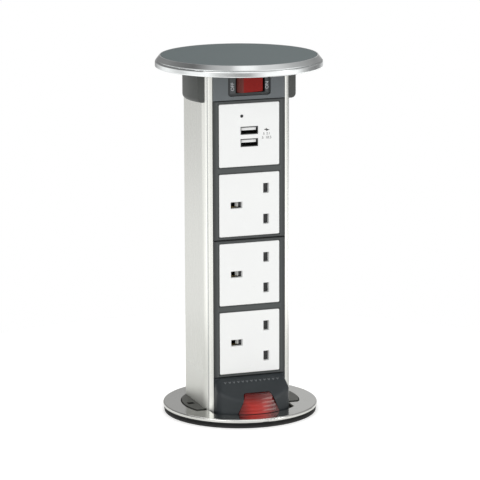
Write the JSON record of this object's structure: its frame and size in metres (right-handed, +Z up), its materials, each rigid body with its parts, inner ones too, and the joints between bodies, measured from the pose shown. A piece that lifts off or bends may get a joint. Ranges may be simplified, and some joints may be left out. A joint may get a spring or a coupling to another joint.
{
  "type": "pull-up desk socket tower",
  "caption": "Round-lidded socket tower that pulls up out of a desk, with flat-pin sockets, USB ports, a rocker and a release tab.",
  "frame": {"origin": "on the tower's axis, on the desk top under the gasket", "axes": "+Z up, -Y the way the sockets face, +X to the right of someone facing the sockets"},
  "size_m": [0.122, 0.122, 0.5697],
  "materials": {
    "satin_aluminium": "satin anodised",
    "lid_metal": "turned and satin anodised",
    "slate_finish": "fine matt slate grey",
    "polished_steel": "polished",
    "black_plastic": "fine texture",
    "foot_plastic": "fine texture",
    "grip_plastic": "fine texture",
    "frame_plastic": "satin",
    "head_plastic": "satin",
    "white_plastic": "satin white",
    "red_plastic": "glossy dark red",
    "red_clear_plastic": "clear red",
    "shutter_plastic": "plain moulded",
    "inner_plastic": "plain moulded",
    "board": "solder mask",
    "lamp": "tinted lens",
    "steel": "zinc plated",
    "contact_brass": "bright",
    "strip_copper": "bare copper",
    "gasket_rubber": "plain"
  },
  "bodies": {
    "housing": {"housing_barrel": "black_plastic", "desk_gasket": "gasket_rubber", "trim_ring": "polished_steel", "trim_ring_screws": "steel", "barrel_end_cap": "black_plastic", "end_cap_screws": "steel"},
    "clamp": {"ring_nut": "black_plastic", "pressure_washer": "steel"},
    "rocker": {"reset_rocker": "red_plastic"},
    "shutter_top": {"shutter_1": "shutter_plastic"},
    "shutter_middle": {"shutter_2": "shutter_plastic"},
    "shutter_bottom": {"shutter_3": "shutter_plastic"},
    "tab": {"release_tab": "red_clear_plastic"},
    "tower": {"cable_gland": "black_plastic", "cap_carrier": "grip_plastic", "cap_disc": "slate_finish", "cap_rim": "lid_metal", "cap_screws": "steel", "charger_parts": "inner_plastic", "column_extrusion": "satin_aluminium", "cover_screws": "steel", "earth_busbar": "strip_copper", "foot_guide": "foot_plastic", "foot_screws": "steel", "front_cover": "foot_plastic", "gland_nut": "black_plastic", "line_busbar": "strip_copper", "module_frame_lower": "frame_plastic", "module_frame_upper": "frame_plastic", "neutral_busbar": "strip_copper", "release_spring": "steel", "shutter_spring_1": "steel", "shutter_spring_2": "steel", "shutter_spring_3": "steel", "side_grip_left": "grip_plastic", "side_grip_right": "grip_plastic", "side_grip_screws": "steel", "socket_contacts_1": "contact_brass", "socket_contacts_2": "contact_brass", "socket_contacts_3": "contact_brass", "socket_faceplate_1": "white_plastic", "socket_faceplate_2": "white_plastic", "socket_faceplate_3": "white_plastic", "socket_housing_1": "inner_plastic", "socket_housing_2": "inner_plastic", "socket_housing_3": "inner_plastic", "status_led": "lamp", "switch_bezel": "black_plastic", "switch_body": "inner_plastic", "switch_panel": "head_plastic", "switch_terminals": "contact_brass", "terminal_block": "inner_plastic", "terminal_screws": "steel", "usb_board": "board", "usb_faceplate": "white_plastic", "usb_housing": "inner_plastic", "usb_ports": "steel", "usb_tongues": "white_plastic"}
  },
  "joints": [
    {"name": "tower_lift", "type": "slide", "parent": "housing", "child": "tower", "axis": [0, 0, 1], "range_m": [-0.246, 0]},
    {"name": "clamp_travel", "type": "slide", "parent": "housing", "child": "clamp", "axis": [0, 0, 1], "range_m": [-0.02, 0.015]},
    {"name": "rocker_tilt", "type": "hinge", "parent": "tower", "child": "rocker", "pos_m": [0.0013, -0.0162, 0.2414], "axis": [0, 0, 1], "range_deg": [-24, 0]},
    {"name": "tab_push", "type": "slide", "parent": "tower", "child": "tab", "axis": [0, 1, 0], "range_m": [0, 0.004], "stiffness_N_per_m": 200, "springref_m": -0.003, "deforming": ["release_spring"]},
    {"name": "shutter_top_slide", "type": "slide", "parent": "tower", "child": "shutter_top", "axis": [1, 0, 0], "range_m": [0, 0.0052], "stiffness_N_per_m": 60, "springref_m": -0.002, "deforming": ["shutter_spring_1"]},
    {"name": "shutter_middle_slide", "type": "slide", "parent": "tower", "child": "shutter_middle", "axis": [1, 0, 0], "range_m": [0, 0.0052], "stiffness_N_per_m": 60, "springref_m": -0.002, "deforming": ["shutter_spring_2"]},
    {"name": "shutter_bottom_slide", "type": "slide", "parent": "tower", "child": "shutter_bottom", "axis": [1, 0, 0], "range_m": [0, 0.0052], "stiffness_N_per_m": 60, "springref_m": -0.002, "deforming": ["shutter_spring_3"]}
  ]
}
